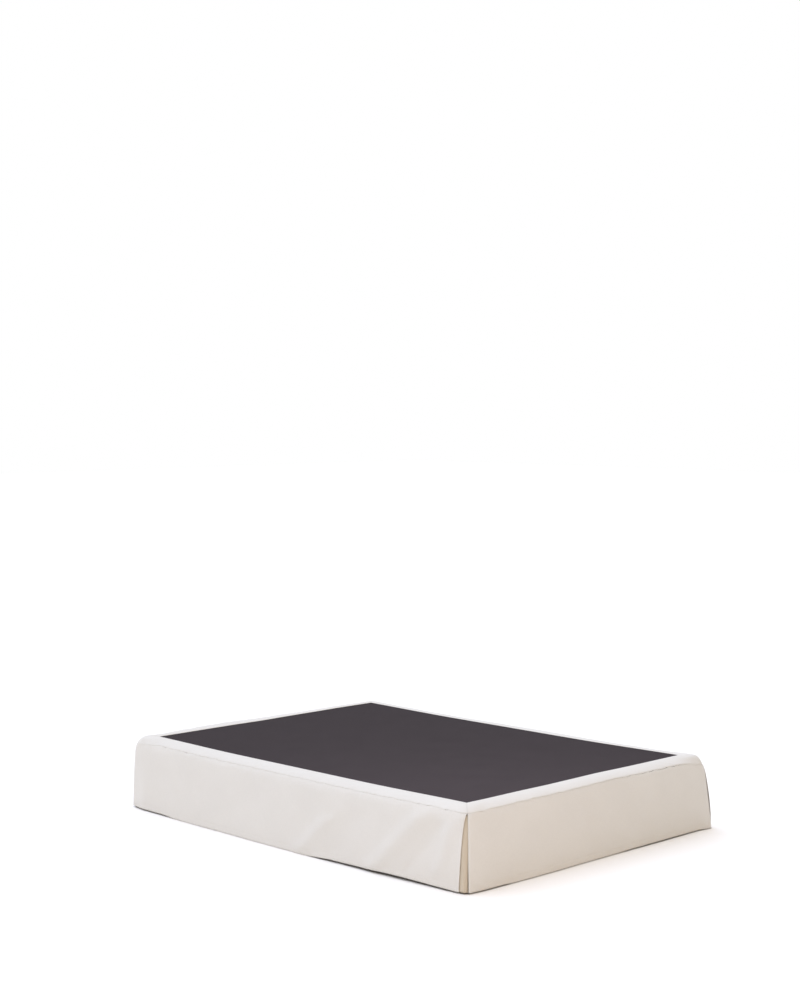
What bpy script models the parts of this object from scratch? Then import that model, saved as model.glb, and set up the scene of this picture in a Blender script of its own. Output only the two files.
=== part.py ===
"""Standard full-size box spring in its fitted cloth cover.

World frame: metres, +Z up, +Y along the length. The origin is on the floor, under the middle.
The left side faces -X, the foot -Y, the right side +X and the head +Y.

Each side has a frame of its own. "run" is the way along the side's outer line, counted from the
side's middle, anticlockwise seen from above, round the corner and on. "out" is the distance
outside that line, and "fall" goes from 0 at the top seam to 1 at the hem.
"""

import math

import bpy
import numpy as np

# The cover's size
TOP_WIDTH = 1.372
TOP_LENGTH = 1.905
TOP_HEIGHT = 0.290  # upper face of the dark panel over the floor, at the foot and the head
BORDER_WIDTH = 0.0885  # light border between the dark panel and the drops
CORNER_RADIUS = 0.044  # of the top's outer line, seen from above
HEM_CORNER_RADIUS = 0.014  # the drops get squarer towards their hems
CORNER_POWER = 0.5  # below 1, so that they do so mostly near the top

# The cloth
CLOTH = 0.002  # border, drops and corner inserts
PANEL_CLOTH = 0.0015
LAYER_GAP = 0.0005  # between pieces that lie on each other
SEAM_GAP = 0.0024  # between the border and the drop below it
MITRE_GAP = 0.0006  # each strip's end stays this far from the corner's diagonal

# The top: it lies a little lower along the middle of its length
TOP_DIP = 0.0055
DIP_RUN = 0.60  # the dip starts at each short edge and is full this far in
BORDER_CROWN = 0.0042  # of a border that is level all over; less where it rolls down sooner
BORDER_TURN = 0.002  # straight strip below the border's rolled edge, down to the seam
ROLL_TURN = math.radians(40)  # how far the border has turned when it gets to the seam
SHOULDER = 0.011  # below the seam, a drop comes out to its full place over this height
PANEL_LAP = 0.014  # how far the panel goes on under the border
PANEL_TUCK = 0.0004  # its edge lies this much lower there
TUCK_CLEAR = 0.0010  # and starts to go down this far from the border

# The corners: each drop's end is folded back, and an insert hangs behind the slit
FOLD_RADIUS = 0.00175  # of the middle of the cloth
RETURN_LENGTH = 0.060
RETURN_RISE = 0.003  # the folded-back hem is this much higher than the outer one
SLIT_TOP = 0.0012  # each drop's end stays this far from the corner at the top seam
SLIT_POWER = 0.5  # below 1, so that the slit opens early
INSERT_SET_BACK = 0.0078  # outer face of the insert behind the drop's outer face
INSERT_HALF_WIDTH = 0.105
INSERT_HEM = 0.006

# The box spring inside
SPRING_SET_BACK = 0.0145  # its sides behind the drops' outer faces
SPRING_BELOW_PANEL = 0.0035  # its top below the dark panel's lower face
SPRING_EDGE = 0.024  # width of the slope around its top

HALF_WIDTH = TOP_WIDTH / 2
HALF_LENGTH = TOP_LENGTH / 2

# Each side's way along and way out, in anticlockwise order, its half length, its distance from
# the middle, and the height over which the border rolls down to the seam: at the corner where
# the side starts, along it, and at the corner where it ends
SIDE_COLUMNS = ("name", "along", "outward", "half", "distance", "start_roll", "roll", "end_roll")
SIDES = [
    dict(zip(SIDE_COLUMNS, row))
    for row in (
        ("left", (0, -1), (-1, 0), HALF_LENGTH, HALF_WIDTH, 0.030, 0.016, 0.0150),
        ("foot", (1, 0), (0, -1), HALF_WIDTH, HALF_LENGTH, 0.0150, 0.012, 0.034),
        ("right", (0, 1), (1, 0), HALF_LENGTH, HALF_WIDTH, 0.034, 0.016, 0.018),
        ("head", (-1, 0), (0, 1), HALF_WIDTH, HALF_LENGTH, 0.018, 0.010, 0.030),
    )
]
ROLL_BLEND = 0.16  # the roll changes to the corner's over this length

# How far in from its edge the border starts to roll down, and how far the seam lies inside each
# drop's outer line: where a side starts, along it and where it ends
ROLL_REACH = {
    "left": (0.034, 0.055, 0.060),
    "foot": (0.060, 0.072, 0.034),
    "right": (0.034, 0.055, 0.050),
    "head": (0.050, 0.060, 0.034),
}
SEAM_BACK = {
    "left": (0.002, 0.010, 0.008),
    "foot": (0.008, 0.007, 0.002),
    "right": (0.002, 0.010, 0.007),
    "head": (0.007, 0.007, 0.002),
}

# How far each drop's hem swings out, at these shares of the way from one corner to the next.
# A power below 1 swings a drop out mostly near its top, one above 1 mostly near its hem.
FLARE_POWER = {"left": 0.75, "foot": 1.25, "right": 0.80, "head": 1.25}
FLARE_AT = (0.0, 0.05, 0.27, 0.50, 0.60, 0.82, 0.95, 1.0)
FLARE = {
    "left": (0.003, 0.015, 0.026, 0.034, 0.034, 0.026, 0.017, 0.013),
    "foot": (0.006, 0.011, 0.013, 0.008, 0.006, 0.003, 0.002, 0.010),
    "right": (0.035, 0.030, 0.028, 0.032, 0.031, 0.025, 0.014, 0.008),
    "head": (0.006, 0.009, 0.013, 0.010, 0.008, 0.006, 0.004, 0.002),
}

# Height of each drop's hem over the floor, at these shares of the way
HEM_AT = (0.0, 0.12, 0.16, 0.58, 0.66, 0.84, 0.95, 1.0)
HEM = {
    "left": (0.0060, 0.0050, 0.0006, 0.0005, 0.0075, 0.0105, 0.0065, 0.0045),
    "foot": (0.0050, 0.0045, 0.0020, 0.0020, 0.0045, 0.0050, 0.0040, 0.0020),
    "right": (0.0030, 0.0040, 0.0050, 0.0035, 0.0030, 0.0040, 0.0050, 0.0040),
    "head": (0.0040, 0.0030, 0.0030, 0.0040, 0.0050, 0.0040, 0.0030, 0.0040),
}

# Each drop's two ends at the hem: how far they stand back from the corner, and how far the cloth
# there is carried on along the side, where the next side's drop swings out
END_COLUMNS = ("start_slit", "end_slit", "start_carry", "end_carry")
ENDS = {
    "left": dict(zip(END_COLUMNS, (0.006, 0.024, 0.000, 0.000))),
    "foot": dict(zip(END_COLUMNS, (0.001, 0.002, 0.000, 0.022))),
    "right": dict(zip(END_COLUMNS, (0.010, 0.012, 0.008, 0.000))),
    "head": dict(zip(END_COLUMNS, (0.010, 0.008, 0.000, 0.000))),
}
CARRY_RUN = 0.22  # length at a side's end over which its cloth is carried on
CARRY_POWER = 0.8  # below 1, so that this starts high up

# The insert at the corner where each side ends: how far its hem swings out along that side and
# along the next one
INSERT_COLUMNS = ("side", "name", "swing", "next_swing")
INSERTS = [
    dict(zip(INSERT_COLUMNS, row))
    for row in (
        ("left", "insert_foot_left", 0.0105, 0.0045),
        ("foot", "insert_foot_right", 0.0035, 0.0035),
        ("right", "insert_head_right", 0.0028, 0.0028),
        ("head", "insert_head_left", 0.0007, 0.0007),
    )
]

# Soft folds in the drops. Each runs down from high, at fall high_fall, to low, at fall low_fall.
# high and low are distances from the side's end. The height is outwards, negative for a trough.
FOLD_COLUMNS = ("side", "high", "low", "high_fall", "low_fall", "height", "half_width")
FOLDS = [
    dict(zip(FOLD_COLUMNS, row))
    for row in (
        ("left", 0.070, 0.125, 0.20, 0.76, 0.0060, 0.032),
        ("left", 0.140, 0.260, 0.25, 0.85, -0.0050, 0.040),
        ("left", 0.225, 0.420, 0.17, 0.90, 0.0110, 0.048),
        ("left", 0.560, 0.640, 0.40, 0.85, -0.0040, 0.055),
        ("left", 0.700, 0.800, 0.50, 0.88, 0.0080, 0.045),
        ("foot", 0.330, 0.300, 0.10, 0.95, 0.0030, 0.120),
        ("right", 0.160, 0.300, 0.20, 0.85, 0.0070, 0.050),
        ("right", 0.900, 0.960, 0.20, 0.80, -0.0050, 0.060),
        ("head", 0.450, 0.500, 0.10, 0.90, 0.0040, 0.080),
    )
]
FOLD_FADE = 0.18  # of the drop's height, over which a fold dies away at its ends

# Places where the top's edge lies higher or lower, and how far in from the edge this reaches:
# past the border into the panel, or within the border
WAVE_COLUMNS = ("side", "run", "height", "half_width", "reach")
WAVES = [
    dict(zip(WAVE_COLUMNS, row))
    for row in (
        ("foot", -0.20, -0.0015, 0.10, 0.16),
        ("foot", 0.10, 0.0030, 0.12, 0.16),
        ("right", -0.10, 0.0035, 0.35, 0.08),
        ("head", 0.05, -0.0025, 0.12, 0.16),
        ("head", -0.40, 0.0015, 0.12, 0.16),
        ("head", 0.20, 0.0080, 0.32, 0.08),
    )
]

# Mesh steps
PANEL_STEPS = (14, 18)
SIDE_STEPS = {"left": 40, "foot": 24, "right": 30, "head": 22}
END_CROWDING = 0.45  # 0 for even steps along a side, more for closer steps towards its ends
BORDER_FLAT_STEPS = 3
BORDER_ROLL_STEPS = 3
DROP_FALLS = (0.0, 0.03, 0.07, 0.14, 0.30, 0.50, 0.70, 0.87, 1.0)
ARC_STEPS = 4
INSERT_FALLS = (0.0, 0.03, 0.07, 0.14, 0.30, 0.50, 0.75, 1.0)
CORNER_STEPS = 6
SPRING_STEPS = 12
SPRING_ARC_STEPS = 4
END_STEP = 0.008  # the least length of a drop's end that takes these steps

# Base colour (linear) and roughness of each finish
FINISHES = {
    "spring_ticking": ((0.012, 0.010, 0.009), 0.90),
    "panel_cloth": ((0.075, 0.065, 0.068), 0.95),
    "cover_cloth": ((0.76, 0.72, 0.66), 0.90),
    "insert_cloth": ((0.62, 0.52, 0.40), 0.92),
}


def remove_everything():
    """Empties the scene that the script starts in."""
    for old in list(bpy.data.objects):
        bpy.data.objects.remove(old)


def material(name, finish):
    """A Principled material of its own for one object."""
    colour, roughness = FINISHES[finish]
    made = bpy.data.materials.new(name + "_finish")
    made.use_nodes = True
    shader = made.node_tree.nodes["Principled BSDF"]
    shader.inputs["Base Color"].default_value = (*colour, 1.0)
    shader.inputs["Roughness"].default_value = roughness
    shader.inputs["Metallic"].default_value = 0.0
    return made


def add_object(name, points, faces, finish):
    """A smooth-shaded mesh object with its own material."""
    mesh = bpy.data.meshes.new(name)
    mesh.from_pydata([tuple(map(float, p)) for p in points], [], faces)
    mesh.update()
    mesh.shade_smooth()
    made = bpy.data.objects.new(name, mesh)
    made.data.materials.append(material(name, finish))
    bpy.context.collection.objects.link(made)
    return made


def sheet(name, grid, thickness, finish):
    """A cloth sheet around its middle surface.

    grid is an array of rows by columns by xyz. Rows go down or outwards and columns run
    anticlockwise round the cover, so the faces point out of it.
    """
    rows, columns = grid.shape[:2]
    faces = [
        (r * columns + c, (r + 1) * columns + c, (r + 1) * columns + c + 1, r * columns + c + 1)
        for r in range(rows - 1)
        for c in range(columns - 1)
    ]
    made = add_object(name, grid.reshape(-1, 3), faces, finish)
    solidify = made.modifiers.new("thickness", "SOLIDIFY")
    solidify.thickness = thickness
    solidify.offset = 0.0
    solidify.use_even_offset = True
    made.data.set_sharp_from_angle(angle=math.radians(60))
    return made


def smooth_step(x):
    """From 0 to 1 with level ends, for x from 0 to 1."""
    x = np.clip(x, 0.0, 1.0)
    return x * x * (3.0 - 2.0 * x)


def eased(share, at, values):
    """A table's value at a share of the way, with a smooth step between its entries."""
    share = np.clip(share, at[0], at[-1])
    after = np.clip(np.searchsorted(at, share, side="right"), 1, len(at) - 1)
    at, values = np.array(at), np.array(values)
    part = (share - at[after - 1]) / (at[after] - at[after - 1])
    return values[after - 1] + (values[after] - values[after - 1]) * smooth_step(part)


def to_world(side, run, out):
    """World x and y of a place beside a side's straight line."""
    along, outward = side["along"], side["outward"]
    x = along[0] * run + outward[0] * (side["distance"] + out)
    y = along[1] * run + outward[1] * (side["distance"] + out)
    return x, y


def corner_radius(fall):
    """Radius of the corners seen from above, at a share of the way down."""
    return CORNER_RADIUS + (HEM_CORNER_RADIUS - CORNER_RADIUS) * fall**CORNER_POWER


def corner_run(side, fall=0.0):
    """The run at which a side ends, at the middle of the corner's arc."""
    return side["half"] - corner_radius(fall) * (1.0 - math.pi / 4)


def outline(side, run, out, fall=0.0):
    """World x and y at a run along the cover's outer line, out of it by out.

    The line is straight, turns round the corner on an arc and goes on along the next side.
    """
    corner = corner_radius(fall)
    straight = side["half"] - corner
    past = np.maximum(np.abs(run) - straight, 0.0)
    angle = np.minimum(past / corner, math.pi / 2)
    beyond = np.maximum(past - corner * math.pi / 2, 0.0)
    local_run = np.minimum(np.abs(run), straight) + (corner + out) * np.sin(angle)
    local_out = (corner + out) * np.cos(angle) - corner - beyond
    return to_world(side, np.sign(run) * local_run, local_out)


def side_runs(side, first, last, fall=0.0):
    """Runs from first to last, closer towards the ends of the straight part and on the corners."""
    straight = side["half"] - corner_radius(fall)
    left, right = max(-straight, first + END_STEP), min(straight, last - END_STEP)
    start = np.linspace(first, left, ARC_STEPS + 1)[:-1]
    end = np.linspace(right, last, ARC_STEPS + 1)[1:]
    share = np.linspace(-1.0, 1.0, SIDE_STEPS[side["name"]] + 1)
    share = (1.0 - END_CROWDING) * share + END_CROWDING * np.sin(share * math.pi / 2)
    return np.concatenate((start, left + (right - left) * (share + 1.0) / 2.0, end))


def top_dip(y):
    """Height of the top across the bed, without the waves in its edges."""
    return TOP_HEIGHT - TOP_DIP * smooth_step((HALF_LENGTH - np.abs(y)) / DIP_RUN)


def top_height(x, y):
    """Height of the dark panel's upper face, also under the border and out to the edge."""
    height = top_dip(y)
    for wave in WAVES:
        side = next(s for s in SIDES if s["name"] == wave["side"])
        run = x * side["along"][0] + y * side["along"][1]
        inward = side["distance"] - (x * side["outward"][0] + y * side["outward"][1])
        bump = np.exp(-(((run - wave["run"]) / wave["half_width"]) ** 2))
        height = height + wave["height"] * bump * (1.0 - smooth_step(inward / wave["reach"]))
    return height


def blended(side, run, values):
    """A side's value at a run, led from its start's to the one along it and to its end's."""
    start, along, end = values
    at_corner = np.where(run < 0.0, start, end)
    to_corner = corner_run(side) - np.abs(run)
    return at_corner + (along - at_corner) * smooth_step(to_corner / ROLL_BLEND)


def roll_height(side, run):
    """Height over which the border rolls down to the seam at a run."""
    return blended(side, run, (side["start_roll"], side["roll"], side["end_roll"]))


def seam_back(side, run):
    """How far the seam lies inside the drop's outer line at a run."""
    return blended(side, run, SEAM_BACK[side["name"]])


def border_rise():
    """Height of the border cloth's outer face over the dark panel."""
    return LAYER_GAP + CLOTH


def seam_height(side, run):
    """Height of the seam between the border and the drop."""
    x, y = outline(side, run, 0.0)
    return top_height(x, y) + border_rise() - roll_height(side, run) - BORDER_TURN


def flare(side, run):
    """How far the hem swings out at a run."""
    end = corner_run(side)
    return eased((run + end) / (2 * end), FLARE_AT, FLARE[side["name"]])


def hem_height(side, run):
    """Height of the drop's hem over the floor at a run."""
    end = corner_run(side)
    return eased((run + end) / (2 * end), HEM_AT, HEM[side["name"]])


def fold_height(side, run, fall):
    """How far the soft folds lift the drop's cloth outwards."""
    total = np.zeros(np.broadcast(run, fall).shape)
    from_end = side["half"] - run
    for fold in FOLDS:
        if fold["side"] != side["name"]:
            continue
        share = (fall - fold["high_fall"]) / (fold["low_fall"] - fold["high_fall"])
        middle = fold["high"] + (fold["low"] - fold["high"]) * share
        across = np.exp(-(((from_end - middle) / fold["half_width"]) ** 2))
        starts = smooth_step((fall - fold["high_fall"] + FOLD_FADE) / FOLD_FADE)
        ends = smooth_step((fold["low_fall"] + FOLD_FADE - fall) / FOLD_FADE)
        total = total + fold["height"] * across * starts * ends
    return total


def drop_end(side, which, fall):
    """The run at which a drop's folded edge stands, at its start or its end."""
    hem = ENDS[side["name"]][which + "_slit"]
    back = SLIT_TOP + (hem - SLIT_TOP) * fall**SLIT_POWER
    return (corner_run(side, fall) - back) * (1.0 if which == "end" else -1.0)


def carried(side, run):
    """How far a drop's cloth is carried on along the side by the hem, at a run."""
    ends = ENDS[side["name"]]
    at_start = smooth_step(1.0 - (corner_run(side) + run) / CARRY_RUN)
    at_end = smooth_step(1.0 - (corner_run(side) - run) / CARRY_RUN)
    return ends["end_carry"] * at_end - ends["start_carry"] * at_start


def drop_columns(side, fall):
    """Run, depth behind the outer face and rise of each column of a drop's middle surface.

    The columns go from the inner edge of the first return, round its fold, along the drop, round
    the other fold and back to the inner edge of the second return.
    """
    fold_depth = CLOTH / 2 + FOLD_RADIUS
    fold_angles = np.radians((-90.0, -45.0, 0.0, 45.0))
    start, end = drop_end(side, "start", fall), drop_end(side, "end", fall)
    first, last = start + fold_depth, end - fold_depth

    main = side_runs(side, first, last, fall)

    bent = corner_radius(fall) * math.pi / 4
    back = np.concatenate(((RETURN_LENGTH,), np.linspace(bent + SLIT_TOP, bent / 4, ARC_STEPS)))
    fold_run = FOLD_RADIUS * np.cos(fold_angles)
    fold_out = fold_depth - FOLD_RADIUS * np.sin(fold_angles)
    deep = np.full(len(back), fold_depth + FOLD_RADIUS)
    flat = np.full(len(main), CLOTH / 2)
    run = np.concatenate(
        (first + back, first - fold_run, main, (last + fold_run)[::-1], (last - back)[::-1])
    )
    depth = np.concatenate((deep, fold_out, flat, fold_out[::-1], deep))
    rise = RETURN_RISE * (depth - CLOTH / 2) / (2 * FOLD_RADIUS)
    return run, depth, rise


def build_drop(side):
    """One side's drop, with both its ends folded back."""
    rows = []
    for fall in DROP_FALLS:
        run, depth, rise = drop_columns(side, fall)
        swing = flare(side, run) * fall ** FLARE_POWER[side["name"]]
        top = seam_height(side, run) - SEAM_GAP
        bottom = hem_height(side, run) + rise
        shoulder = seam_back(side, run) * np.exp(-fall * (top - bottom) / SHOULDER)
        out = swing + fold_height(side, run, fall) - shoulder - depth
        x, y = outline(side, run, out, fall)
        shift = carried(side, run) * fall**CARRY_POWER
        x, y = x + side["along"][0] * shift, y + side["along"][1] * shift
        rows.append(np.stack((x, y, top + (bottom - top) * fall), axis=-1))
    return sheet("drop_" + side["name"], np.array(rows), CLOTH, "cover_cloth")


def build_insert(insert):
    """The piece behind the slit at the end of a side, bent round the corner."""
    side = next(s for s in SIDES if s["name"] == insert["side"])
    rows = []
    for fall in INSERT_FALLS:
        middle = corner_run(side, fall)
        bent = corner_radius(fall) * math.pi / 4
        arc = np.linspace(-bent, bent, CORNER_STEPS + 1)
        straight = np.linspace(INSERT_HALF_WIDTH, bent + CORNER_RADIUS / 4, 3)
        run = middle + np.concatenate((-straight, arc, straight[::-1]))
        round_corner = smooth_step((run - middle + bent) / (2 * bent))
        swing = insert["swing"] + (insert["next_swing"] - insert["swing"]) * round_corner
        corner = np.full(len(run), corner_run(side))
        top = seam_height(side, corner) - SEAM_GAP
        shoulder = seam_back(side, corner) * np.exp(-fall * (top - INSERT_HEM) / SHOULDER)
        out = swing * fall - shoulder - INSERT_SET_BACK - CLOTH / 2
        x, y = outline(side, run, out, fall)
        rows.append(np.stack((x, y, top + (INSERT_HEM - top) * fall), axis=-1))
    return sheet(insert["name"], np.array(rows), CLOTH, "insert_cloth")


def border_section(side, run):
    """Distance inside the outer line and depth below the top of each row of the border.

    The outer face goes level from the inner edge, over a slight crown, round part of an ellipse
    and straight down to the seam.
    """
    roll = roll_height(side, run)
    reach = blended(side, run, ROLL_REACH[side["name"]])
    back = seam_back(side, run)
    crown = BORDER_CROWN * (BORDER_WIDTH - reach) / BORDER_WIDTH
    flat = np.linspace(0.0, 1.0, BORDER_FLAT_STEPS + 1)
    section = []
    for share in flat:
        inward = BORDER_WIDTH + (reach - BORDER_WIDTH) * share
        section.append((inward, -crown * np.sin(math.pi * share)))
    for step in range(1, BORDER_ROLL_STEPS + 1):
        angle = ROLL_TURN * step / BORDER_ROLL_STEPS
        inward = reach + (back - reach) * math.sin(angle) / math.sin(ROLL_TURN)
        section.append((inward, roll * (1.0 - math.cos(angle)) / (1.0 - math.cos(ROLL_TURN))))
    section.append((back, roll + BORDER_TURN))
    return section


def build_border(side):
    """One mitred strip of the light border, from the dark panel to the seam over the drop."""
    end = corner_run(side) - MITRE_GAP
    outer_run = side_runs(side, -end, end)
    outer_x, outer_y = outline(side, outer_run, 0.0)
    inner_run = outer_run / end * (side["half"] - BORDER_WIDTH - MITRE_GAP)
    inner_x, inner_y = to_world(side, inner_run, -BORDER_WIDTH)
    rows = []
    for inward, lower in border_section(side, outer_run):
        part = inward / BORDER_WIDTH
        x = outer_x + (inner_x - outer_x) * part
        y = outer_y + (inner_y - outer_y) * part
        rows.append(np.stack((x, y, top_height(x, y) + border_rise() - lower), axis=-1))
    made = sheet("border_" + side["name"], np.array(rows), CLOTH, "cover_cloth")
    made.modifiers["thickness"].offset = -1.0
    return made


def build_panel():
    """The dark centre panel, whose edges go on under the border."""
    inner_x = HALF_WIDTH - BORDER_WIDTH - TUCK_CLEAR
    inner_y = HALF_LENGTH - BORDER_WIDTH - TUCK_CLEAR
    edge = TUCK_CLEAR + PANEL_LAP
    across = np.linspace(-inner_x, inner_x, PANEL_STEPS[0] + 1)
    length = np.linspace(inner_y, -inner_y, PANEL_STEPS[1] + 1)
    across = np.concatenate(((-inner_x - edge,), across, (inner_x + edge,)))
    length = np.concatenate(((inner_y + edge,), length, (-inner_y - edge,)))
    x, y = np.meshgrid(across, length)
    tucked = np.maximum(np.abs(x) - inner_x, np.abs(y) - inner_y) / edge
    z = top_height(x, y) - PANEL_TUCK * np.clip(tucked, 0.0, 1.0)
    grid = np.stack((x, y, z), axis=-1)
    made = sheet("centre_panel", grid, PANEL_CLOTH, "panel_cloth")
    made.modifiers["thickness"].offset = -1.0
    return made


def build_spring():
    """The plain box spring, a flat-bottomed block with upright round corners that fills the cover.

    It is made of sections across the bed, each with a sloped edge at the top of both its sides.
    They narrow on the round corners at the foot and the head, where the top slopes too.
    """
    half_x = HALF_WIDTH - SPRING_SET_BACK
    half_y = HALF_LENGTH - SPRING_SET_BACK
    radius = CORNER_RADIUS - SPRING_SET_BACK
    angle = np.linspace(0.0, math.pi / 2, SPRING_ARC_STEPS + 1)
    arc_y = half_y - radius + radius * np.sin(angle)
    arc_in = radius * (1.0 - np.cos(angle))
    straight_y = np.linspace(radius - half_y, half_y - radius, SPRING_STEPS + 1)[1:-1]
    y = np.concatenate((-arc_y[::-1], straight_y, arc_y))
    inward = np.concatenate((arc_in[::-1], np.zeros(len(straight_y)), arc_in))
    end_slope = np.maximum(SPRING_EDGE - (half_y - np.abs(y)), 0.0)
    top = top_dip(y) - PANEL_CLOTH - SPRING_BELOW_PANEL - end_slope
    points = []
    for section_y, section_in, section_top in zip(y, inward, top):
        x = half_x - section_in
        points += [(-x, section_y, 0.0), (x, section_y, 0.0)]
        points += [(x, section_y, section_top - SPRING_EDGE), (x - SPRING_EDGE, section_y, section_top)]
        points += [(SPRING_EDGE - x, section_y, section_top), (-x, section_y, section_top - SPRING_EDGE)]
    corners = 6
    last = corners * (len(y) - 1)
    faces = [tuple(range(corners)), tuple(last + c for c in reversed(range(corners)))]
    for first in range(0, last, corners):
        for corner in range(corners):
            after = (corner + 1) % corners
            here, there = first + corner, first + after
            faces.append((here, here + corners, there + corners, there))
    made = add_object("box_spring", points, faces, "spring_ticking")
    made.data.set_sharp_from_angle(angle=math.radians(40))
    return made


def main():
    remove_everything()
    build_spring()
    build_panel()
    for side in SIDES:
        build_border(side)
        build_drop(side)
    for insert in INSERTS:
        build_insert(insert)


main()
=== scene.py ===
# %% [markdown]
# # A fitted cloth cover on a box spring
#
# This lesson dresses a full-size box spring in its cover: a dark panel on the top, a light border
# round it, four drops that hang nearly to the floor, and a split corner with an insert behind it.
# The frame brings the plain solids at their real size. Each cell below makes one kind of piece as
# a thin sheet that lies on its solid, with the finer folds, seams and weave that the solid lacks.

# %% Load the frame
import math

import bpy
import numpy as np
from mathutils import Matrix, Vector


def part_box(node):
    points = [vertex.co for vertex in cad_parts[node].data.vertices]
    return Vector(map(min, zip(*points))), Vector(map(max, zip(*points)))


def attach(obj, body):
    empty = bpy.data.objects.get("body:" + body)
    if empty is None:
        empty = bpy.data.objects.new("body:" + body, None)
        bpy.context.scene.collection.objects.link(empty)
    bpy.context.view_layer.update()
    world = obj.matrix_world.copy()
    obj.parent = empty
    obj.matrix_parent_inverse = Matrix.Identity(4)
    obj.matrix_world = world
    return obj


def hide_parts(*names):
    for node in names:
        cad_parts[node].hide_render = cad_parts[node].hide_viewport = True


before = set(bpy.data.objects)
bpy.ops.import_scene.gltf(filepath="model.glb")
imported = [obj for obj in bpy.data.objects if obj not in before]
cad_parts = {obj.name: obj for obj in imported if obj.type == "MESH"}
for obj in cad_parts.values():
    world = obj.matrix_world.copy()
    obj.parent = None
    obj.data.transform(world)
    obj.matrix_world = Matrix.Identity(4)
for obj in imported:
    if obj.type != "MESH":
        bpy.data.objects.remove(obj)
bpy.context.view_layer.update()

# %% [markdown]
# The camera comes first, because every later choice is judged through it. Its place and lens come
# from the corners of the dark panel, which are a rectangle of known size: it looks along the near
# corner from 1.7 m up, a little downwards.

# %% Camera
CAMERA_PLACE = (-5.1475, -5.1524, 1.6794)
CAMERA_TURN = -44.5927  # degrees about the upright axis
CAMERA_DOWN = 3.1569  # degrees below level
CAMERA_LENS = 65.906  # millimetres
SENSOR_WIDTH = 36.0  # millimetres

lens = bpy.data.cameras.new("camera")
lens.lens = CAMERA_LENS
lens.sensor_width = SENSOR_WIDTH
camera = bpy.data.objects.new("camera", lens)
camera.location = CAMERA_PLACE
camera.rotation_euler = (math.radians(90.0 - CAMERA_DOWN), 0.0, math.radians(CAMERA_TURN))
bpy.context.scene.collection.objects.link(camera)
bpy.context.scene.camera = camera
print("camera", CAMERA_PLACE)

# %% [markdown]
# The driving sizes are read from the frame where a solid's box shows them: the half width, the
# half length and the border's width. The others repeat the sizes that the solids were made with,
# so that every sheet lies where its solid lies, or leave them by a few millimetres where thinner
# cloth can lie closer.

# %% Sizes
border_low, border_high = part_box("border_left")
HALF_WIDTH = -border_low.x
HALF_LENGTH = -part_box("border_foot")[0].y
BORDER_WIDTH = HALF_WIDTH + border_high.x
TOP_HEIGHT = 0.290  # upper face of the dark panel, at the foot and the head
TOP_DIP = 0.0055  # the panel lies lower by this along the middle of its length
DIP_RUN = 0.60  # the dip is reached this far from the foot and the head
CORNER_RADIUS = 0.044  # of the outer line at the top, seen from above
HEM_CORNER_RADIUS = 0.014  # and at the hem
CORNER_POWER = 0.5
SOLID_CLOTH = 0.002  # thickness of the solids' cloth
BORDER_RISE = 0.0014  # the border's outer face over the panel
BORDER_CROWN = 0.0042  # it stands up by this between its edge and its roll
BORDER_TURN = 0.002  # straight strip below the border's rolled edge
PANEL_LAP = 0.014  # the panel goes on under the border by this
STRIP_WIDTH = BORDER_WIDTH - 0.005  # the border cloth's inner edge shows this far in
CLOTH = 0.0012  # thickness of the cloth made here
HALF_CLOTH = CLOTH / 2
print(f"top {2 * HALF_WIDTH:.3f} by {2 * HALF_LENGTH:.3f} m, border {BORDER_WIDTH:.4f} m")

# %% [markdown]
# A cover like this is four sides that differ in small things. Each side gets a frame of its own:
# run goes along its outer line anticlockwise, out goes away from the box spring, and fall goes
# from 0 at the top seam to 1 at the hem. One table holds each side's direction and the height over
# which the border rolls to the seam, at its start, along it and at its end.

# %% The four sides
SIDE_COLUMNS = ("name", "along", "outward", "half", "distance", "start_roll", "roll", "end_roll")
SIDES = [
    dict(zip(SIDE_COLUMNS, row))
    for row in (
        ("left", (0, -1), (-1, 0), HALF_LENGTH, HALF_WIDTH, 0.030, 0.016, 0.018),
        ("foot", (1, 0), (0, -1), HALF_WIDTH, HALF_LENGTH, 0.018, 0.0145, 0.034),
        ("right", (0, 1), (1, 0), HALF_LENGTH, HALF_WIDTH, 0.034, 0.016, 0.018),
        ("head", (-1, 0), (0, 1), HALF_WIDTH, HALF_LENGTH, 0.018, 0.010, 0.030),
    )
]
ROLL_BLEND = 0.16  # a side's middle value is reached this far from its corners

# How far in from its edge the border starts to roll down, and how far the seam lies inside each
# drop's outer line: where a side starts, along it and where it ends
ROLL_REACH = {
    "left": (0.034, 0.055, 0.060),
    "foot": (0.060, 0.072, 0.029),
    "right": (0.029, 0.055, 0.050),
    "head": (0.050, 0.060, 0.034),
}
SEAM_BACK = {
    "left": (0.002, 0.010, 0.008),
    "foot": (0.008, 0.007, 0.002),
    "right": (0.002, 0.010, 0.007),
    "head": (0.007, 0.007, 0.002),
}
SEAM_WANDER = 0.0018  # the seam wanders up and down by this
WANDER_WAVES = (0.110, 0.071, 0.046)
WANDER_FADE = 0.06  # and ends over this length at a corner


def smooth_step(x):
    """From 0 to 1 with level ends: three x squared less two x cubed, for x from 0 to 1."""
    x = np.clip(x, 0.0, 1.0)
    return x * x * (3.0 - 2.0 * x)


def eased(share, at, values):
    """A table's value at a share of the way, with a smooth step between its entries."""
    at, values = np.array(at), np.array(values)
    share = np.clip(share, at[0], at[-1])
    after = np.clip(np.searchsorted(at, share, side="right"), 1, len(at) - 1)
    part = (share - at[after - 1]) / (at[after] - at[after - 1])
    return values[after - 1] + (values[after] - values[after - 1]) * smooth_step(part)


def corner_radius(fall):
    """Radius of the corners from above: it shrinks with the square root of the fall."""
    return CORNER_RADIUS + (HEM_CORNER_RADIUS - CORNER_RADIUS) * fall**CORNER_POWER


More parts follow.
